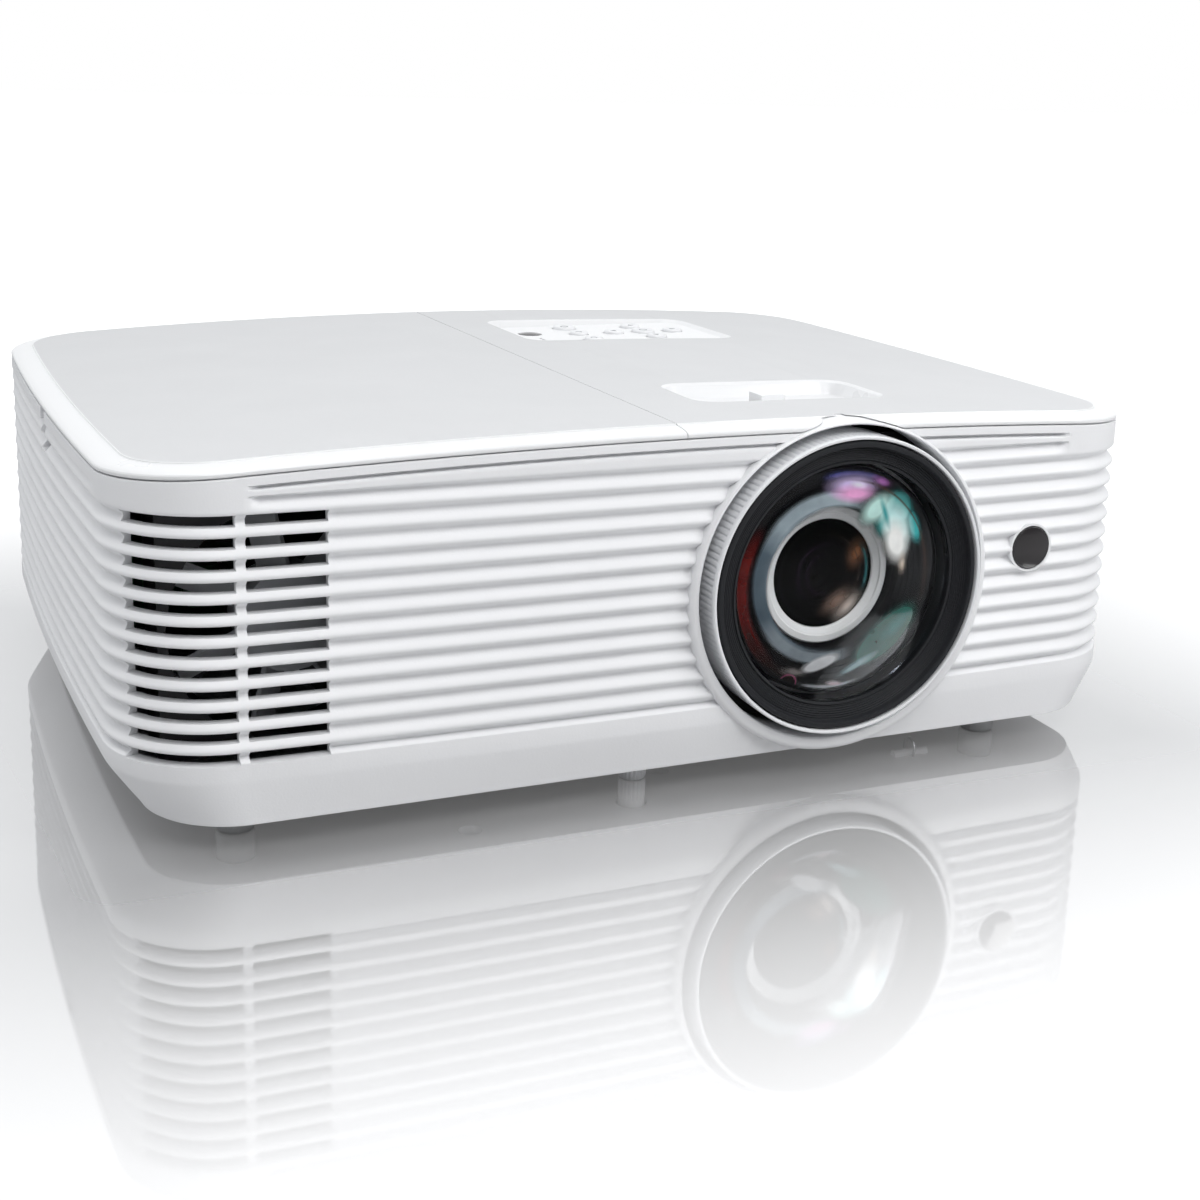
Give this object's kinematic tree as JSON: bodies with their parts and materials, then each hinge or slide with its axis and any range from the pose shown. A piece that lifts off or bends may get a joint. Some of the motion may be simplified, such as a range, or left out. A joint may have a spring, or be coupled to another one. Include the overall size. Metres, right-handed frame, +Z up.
{
  "type": "home projector",
  "caption": "Low ribbed home projector with a large short-throw lens, a focus lever in the lid, a keypad, lamp optics, fans, rear sockets and screw feet.",
  "frame": {"origin": "bottom centre of the bounding box, on the surface that the feet stand on", "axes": "+X to the right seen from the front, -Y the way the lens looks, +Z up"},
  "size_m": [0.316, 0.2486, 0.1057],
  "materials": {
    "casing_white": "white moulded ABS, satin, very fine texture",
    "lid_white": "white moulded ABS, matte fine texture, glossier bevel",
    "key_grey": "pale grey moulded keys and membrane",
    "black_plastic": "black moulded plastic, satin",
    "grey_plastic": "mid grey moulded plastic, knurled on the ring",
    "smoked_window": "black glossy plastic that passes infrared",
    "clear_glass": "multi-coated optical glass",
    "light_pipe": "milky clear light pipe",
    "cast_alloy": "die-cast and extruded aluminium",
    "plated_steel": "nickel plated steel",
    "circuit_board": "green solder mask",
    "pad_rubber": "pale grey rubber pad",
    "lamp_mirror": "metallised glass reflector"
  },
  "bodies": {
    "chassis": {"lower_housing": "casing_white", "top_cover": "lid_white", "rear_panel": "casing_white", "receiver_window": "smoked_window", "lid_receiver_window": "smoked_window", "keypad_plate": "key_grey", "status_light_bar": "light_pipe", "lens_bracket": "black_plastic", "optical_engine": "cast_alloy", "chip_board": "circuit_board", "chip_heatsink": "cast_alloy", "colour_wheel_motor": "plated_steel", "lamp_reflector": "lamp_mirror", "lamp_holder": "black_plastic", "front_fan_frame": "black_plastic", "side_fan_frame": "black_plastic", "main_board": "circuit_board", "ballast_board": "circuit_board", "power_board": "circuit_board", "speaker": "black_plastic", "hdmi_socket_1": "plated_steel", "hdmi_socket_2": "plated_steel", "vga_socket": "plated_steel", "serial_socket": "plated_steel", "usb_socket": "plated_steel", "audio_jacks": "black_plastic", "power_inlet": "black_plastic", "front_pad_left": "pad_rubber", "front_pad_right": "pad_rubber", "housing_screw_1": "plated_steel", "housing_screw_2": "plated_steel", "housing_screw_3": "plated_steel", "housing_screw_4": "plated_steel", "tether_anchor": "casing_white"},
    "lamp_cover": {"lamp_cover": "lid_white"},
    "cover_screw": {"cover_screw": "plated_steel"},
    "focus_group": {"focus_ring": "grey_plastic", "focus_sleeve": "black_plastic"},
    "lens_group": {"lens_bezel": "black_plastic", "front_glass": "clear_glass", "lens_barrel": "black_plastic", "inner_glass": "clear_glass"},
    "front_fan": {"front_fan_rotor": "grey_plastic"},
    "side_fan": {"side_fan_rotor": "grey_plastic"},
    "colour_wheel": {"colour_wheel": "clear_glass"},
    "front_foot": {"front_foot": "casing_white"},
    "rear_foot_left": {"rear_foot_left": "casing_white"},
    "rear_foot_right": {"rear_foot_right": "casing_white"},
    "tether_loop": {"tether_loop": "plated_steel"},
    "power_button": {"power_button": "key_grey"},
    "menu_button": {"menu_button": "key_grey"},
    "source_button": {"source_button": "key_grey"},
    "up_button": {"up_button": "key_grey"},
    "down_button": {"down_button": "key_grey"},
    "left_button": {"left_button": "key_grey"},
    "right_button": {"right_button": "key_grey"},
    "enter_button": {"enter_button": "key_grey"}
  },
  "joints": [
    {"name": "focus_turn", "type": "hinge", "parent": "chassis", "child": "focus_group", "pos_m": [0.046, 0, 0.0582], "axis": [0, 1, 0], "range_deg": [-12, 12]},
    {"name": "lens_slide", "type": "slide", "parent": "chassis", "child": "lens_group", "axis": [0, 1, 0], "range_m": [-0.00076, 0.00076]},
    {"name": "lamp_cover_lift", "type": "slide", "parent": "chassis", "child": "lamp_cover", "axis": [0, 0, 1], "range_m": [0, 0.04]},
    {"name": "cover_screw_out", "type": "slide", "parent": "chassis", "child": "cover_screw", "axis": [-1, 0, 0], "range_m": [0, 0.004]},
    {"name": "front_fan_spin", "type": "hinge", "parent": "chassis", "child": "front_fan", "pos_m": [-0.108, -0.08875, 0.056], "axis": [0, 1, 0], "continuous": true},
    {"name": "side_fan_spin", "type": "hinge", "parent": "chassis", "child": "side_fan", "pos_m": [0.134, 0.02325, 0.05], "axis": [1, 0, 0], "continuous": true},
    {"name": "colour_wheel_spin", "type": "hinge", "parent": "chassis", "child": "colour_wheel", "pos_m": [-0.009, -0.01675, 0.069], "axis": [1, 0, 0], "continuous": true},
    {"name": "front_foot_screw", "type": "slide", "parent": "chassis", "child": "front_foot", "axis": [0, 0, -1], "range_m": [0, 0.012]},
    {"name": "rear_foot_left_screw", "type": "slide", "parent": "chassis", "child": "rear_foot_left", "axis": [0, 0, -1], "range_m": [0, 0.007]},
    {"name": "rear_foot_right_screw", "type": "slide", "parent": "chassis", "child": "rear_foot_right", "axis": [0, 0, -1], "range_m": [0, 0.007]},
    {"name": "tether_swing", "type": "hinge", "parent": "chassis", "child": "tether_loop", "pos_m": [0.089, -0.09475, 0.0075], "axis": [1, 0, 0], "range_deg": [-55, 55]},
    {"name": "power_press", "type": "slide", "parent": "chassis", "child": "power_button", "axis": [0, 0, -1], "range_m": [0, 0.0005], "stiffness_N_per_m": 400},
    {"name": "menu_press", "type": "slide", "parent": "chassis", "child": "menu_button", "axis": [0, 0, -1], "range_m": [0, 0.0005], "stiffness_N_per_m": 400},
    {"name": "source_press", "type": "slide", "parent": "chassis", "child": "source_button", "axis": [0, 0, -1], "range_m": [0, 0.0005], "stiffness_N_per_m": 400},
    {"name": "up_press", "type": "slide", "parent": "chassis", "child": "up_button", "axis": [0, 0, -1], "range_m": [0, 0.0005], "stiffness_N_per_m": 400},
    {"name": "down_press", "type": "slide", "parent": "chassis", "child": "down_button", "axis": [0, 0, -1], "range_m": [0, 0.0005], "stiffness_N_per_m": 400},
    {"name": "left_press", "type": "slide", "parent": "chassis", "child": "left_button", "axis": [0, 0, -1], "range_m": [0, 0.0005], "stiffness_N_per_m": 400},
    {"name": "right_press", "type": "slide", "parent": "chassis", "child": "right_button", "axis": [0, 0, -1], "range_m": [0, 0.0005], "stiffness_N_per_m": 400},
    {"name": "enter_press", "type": "slide", "parent": "chassis", "child": "enter_button", "axis": [0, 0, -1], "range_m": [0, 0.0005], "stiffness_N_per_m": 400}
  ],
  "couplings": [
    {"joint": "lens_slide", "follows": "focus_turn", "m_per_rad": 0.0036}
  ]
}
